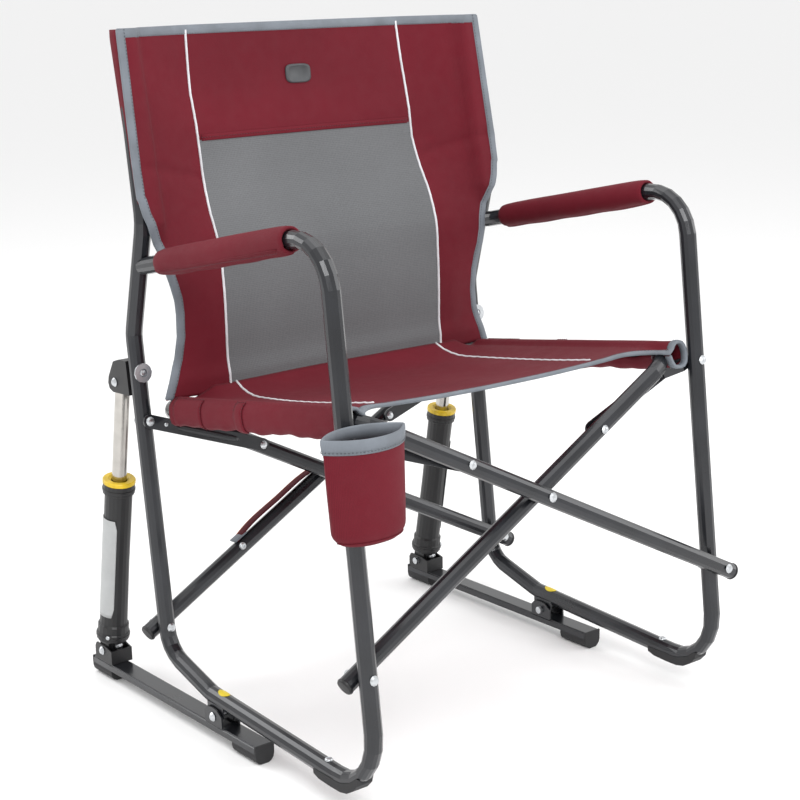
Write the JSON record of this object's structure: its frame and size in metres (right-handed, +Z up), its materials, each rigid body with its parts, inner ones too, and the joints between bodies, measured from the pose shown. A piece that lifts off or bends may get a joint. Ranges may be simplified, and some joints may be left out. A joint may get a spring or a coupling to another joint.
{
  "type": "folding rocking chair",
  "caption": "Folding camp rocking chair: bent tube side frames on spring struts, crossed seat tubes, fabric seat and back, padded arms and a hanging cup pouch.",
  "frame": {"origin": "centre of the bounding box on the floor plane, with the chair open and level", "axes": "+Z up, the seat faces -Y, the sitter's right-hand side is -X"},
  "size_m": [0.656, 0.6577, 0.8835],
  "materials": {
    "frame_paint": "glossy dark gunmetal powder coat",
    "black_plastic": "black moulded plastic",
    "rubber": "black rubber",
    "zinc": "bright zinc plate",
    "chrome_rod": "polished hard chrome",
    "spring_steel": "oiled spring steel",
    "yellow_plastic": "yellow moulded plastic",
    "fabric": "burgundy woven polyester",
    "webbing": "burgundy webbing"
  },
  "bodies": {
    "left_base": {"left_base_bar": "frame_paint", "left_front_pad": "rubber", "left_rear_pad": "rubber", "left_rock_bolt": "zinc", "left_strut_bracket": "black_plastic", "left_strut_foot_bolt": "zinc"},
    "left_frame": {"left_frame_tube": "frame_paint", "left_arm_pad": "fabric", "left_front_foot": "rubber", "left_top_bracket": "black_plastic", "left_bracket_bolt": "zinc", "left_strut_top_pin": "zinc", "left_front_link_bolt": "zinc", "left_rear_link_bolt": "zinc", "left_front_low_bolt": "zinc", "left_rear_low_bolt": "zinc", "back_sling": "fabric", "cup_holder": "fabric"},
    "left_strut": {"left_cylinder": "black_plastic", "left_cap_ring": "yellow_plastic", "left_universal_block": "black_plastic", "left_universal_bolt": "zinc", "left_spring": "spring_steel"},
    "left_rod": {"left_rod": "chrome_rod"},
    "left_front_link": {"left_front_link": "frame_paint"},
    "left_rear_link": {"left_rear_link": "frame_paint", "left_rear_rail_rivet": "zinc"},
    "right_base": {"right_base_bar": "frame_paint", "right_front_pad": "rubber", "right_rear_pad": "rubber", "right_rock_bolt": "zinc", "right_strut_bracket": "black_plastic", "right_strut_foot_bolt": "zinc"},
    "right_frame": {"right_frame_tube": "frame_paint", "right_arm_pad": "fabric", "right_front_foot": "rubber", "right_top_bracket": "black_plastic", "right_bracket_bolt": "zinc", "right_strut_top_pin": "zinc", "right_front_link_bolt": "zinc", "right_rear_link_bolt": "zinc", "right_front_low_bolt": "zinc", "right_rear_low_bolt": "zinc"},
    "right_strut": {"right_cylinder": "black_plastic", "right_cap_ring": "yellow_plastic", "right_universal_block": "black_plastic", "right_universal_bolt": "zinc", "right_spring": "spring_steel"},
    "right_rod": {"right_rod": "chrome_rod"},
    "right_front_link": {"right_front_link": "frame_paint"},
    "right_rear_link": {"right_rear_link": "frame_paint", "right_rear_rail_rivet": "zinc"},
    "cross_a": {"cross_tube_a": "frame_paint", "front_crossing_bolt": "zinc", "rear_crossing_bolt": "zinc", "right_front_rail_rivet": "zinc", "seat_sling": "fabric", "carry_strap": "webbing"},
    "cross_b": {"cross_tube_b": "frame_paint", "left_front_rail_rivet": "zinc"}
  },
  "joints": [
    {"name": "rock", "type": "hinge", "parent": "left_base", "child": "left_frame", "pos_m": [-0.2625, 0.0215, 0.0345], "axis": [-1, 0, 0], "range_deg": [-5.9, 14], "stiffness_Nm_per_rad": 300},
    {"name": "left_strut_swing", "type": "hinge", "parent": "left_base", "child": "left_strut", "pos_m": [-0.2605, 0.3, 0.0395], "axis": [-1, 0, 0], "range_deg": [-5.69, 13.22]},
    {"name": "left_rod_slide", "type": "slide", "parent": "left_strut", "child": "left_rod", "axis": [0, -0.1786, 0.9839], "range_m": [-0.0687, 0.0295], "stiffness_N_per_m": 3000, "springref_m": 0.001, "deforming": ["left_spring"]},
    {"name": "fold", "type": "hinge", "parent": "left_frame", "child": "cross_a", "pos_m": [-0.2625, -0.28461, 0.17905], "axis": [0, -0.9895, 0.1444], "range_deg": [0, 45], "deforming": ["seat_sling", "back_sling"]},
    {"name": "scissor", "type": "hinge", "parent": "cross_a", "child": "cross_b", "pos_m": [0.0225, -0.26271, 0.32916], "axis": [0, -0.9895, 0.1444], "range_deg": [-97.74, 0]},
    {"name": "right_fold", "type": "hinge", "parent": "cross_b", "child": "right_frame", "pos_m": [0.3075, -0.28461, 0.17905], "axis": [0, -0.9895, 0.1444], "range_deg": [0, 45.3]},
    {"name": "left_front_link_swing", "type": "hinge", "parent": "left_frame", "child": "left_front_link", "pos_m": [-0.2625, -0.2535, 0.45212], "axis": [0, -0.9895, 0.1444], "range_deg": [0, 82.28]},
    {"name": "left_rear_link_swing", "type": "hinge", "parent": "left_frame", "child": "left_rear_link", "pos_m": [-0.2625, 0.17773, 0.38921], "axis": [0, -0.9895, 0.1444], "range_deg": [0, 82.28]},
    {"name": "right_front_link_swing", "type": "hinge", "parent": "right_frame", "child": "right_front_link", "pos_m": [0.3075, -0.2535, 0.45212], "axis": [0, -0.9895, 0.1444], "range_deg": [-82.28, 0]},
    {"name": "right_rear_link_swing", "type": "hinge", "parent": "right_frame", "child": "right_rear_link", "pos_m": [0.3075, 0.17773, 0.38921], "axis": [0, -0.9895, 0.1444], "range_deg": [-82.28, 0]},
    {"name": "right_rock", "type": "hinge", "parent": "right_frame", "child": "right_base", "pos_m": [0.3075, 0.0215, 0.0345], "axis": [-1, 0, 0], "range_deg": [-14.2, 6.1]},
    {"name": "right_strut_swing", "type": "hinge", "parent": "right_base", "child": "right_strut", "pos_m": [0.3055, 0.3, 0.0395], "axis": [-1, 0, 0], "range_deg": [-5.69, 13.22]},
    {"name": "right_rod_slide", "type": "slide", "parent": "right_strut", "child": "right_rod", "axis": [0, -0.1786, 0.9839], "range_m": [-0.0687, 0.0295], "stiffness_N_per_m": 3000, "springref_m": 0.001, "deforming": ["right_spring"]}
  ],
  "couplings": [
    {"joint": "left_strut_swing", "follows": "rock", "ratio": 0.93},
    {"joint": "left_rod_slide", "follows": "rock", "m_per_rad": -0.277},
    {"joint": "right_rock", "follows": "rock", "ratio": -1},
    {"joint": "right_strut_swing", "follows": "rock", "ratio": 0.93},
    {"joint": "right_rod_slide", "follows": "rock", "m_per_rad": -0.277},
    {"joint": "scissor", "follows": "fold", "ratio": -2.1654},
    {"joint": "right_fold", "follows": "fold", "ratio": 1},
    {"joint": "left_front_link_swing", "follows": "fold", "ratio": 1.8217},
    {"joint": "left_rear_link_swing", "follows": "fold", "ratio": 1.8217},
    {"joint": "right_front_link_swing", "follows": "fold", "ratio": -1.8217},
    {"joint": "right_rear_link_swing", "follows": "fold", "ratio": -1.8217}
  ]
}
